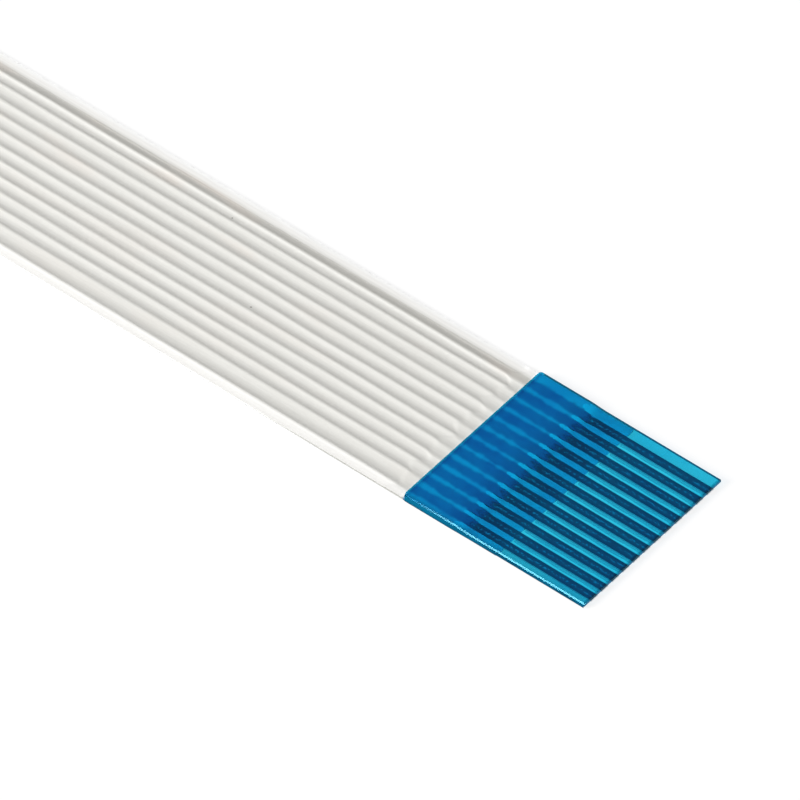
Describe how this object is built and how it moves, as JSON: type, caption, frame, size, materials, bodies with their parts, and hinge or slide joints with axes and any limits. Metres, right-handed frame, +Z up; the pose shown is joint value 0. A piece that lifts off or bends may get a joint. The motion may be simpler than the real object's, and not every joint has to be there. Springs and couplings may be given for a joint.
{
  "type": "flat flex cable",
  "caption": "Flat flex cable: flat tinned conductors laminated between white insulation films, with a translucent blue stiffener bonded on top of each bare contact end.",
  "frame": {"origin": "middle of the cable's length and width, on the surface that it lies on", "axes": "+X along the cable towards the front stiffened end, +Y across it, +Z up out of the side that carries the stiffeners"},
  "size_m": [0.1, 0.013, 0.0005],
  "materials": {
    "white_film": "white polyester insulation film, satin",
    "blue_stiffener": "translucent blue polyester tape, glossy",
    "tinned_copper": "rolled copper strip with a bright tin coat"
  },
  "bodies": {
    "root": {"top_film": "white_film", "bottom_film": "white_film", "front_stiffener": "blue_stiffener", "rear_stiffener": "blue_stiffener", "conductor_01": "tinned_copper", "conductor_02": "tinned_copper", "conductor_03": "tinned_copper", "conductor_04": "tinned_copper", "conductor_05": "tinned_copper", "conductor_06": "tinned_copper", "conductor_07": "tinned_copper", "conductor_08": "tinned_copper", "conductor_09": "tinned_copper", "conductor_10": "tinned_copper", "conductor_11": "tinned_copper", "conductor_12": "tinned_copper"}
  },
  "joints": []
}
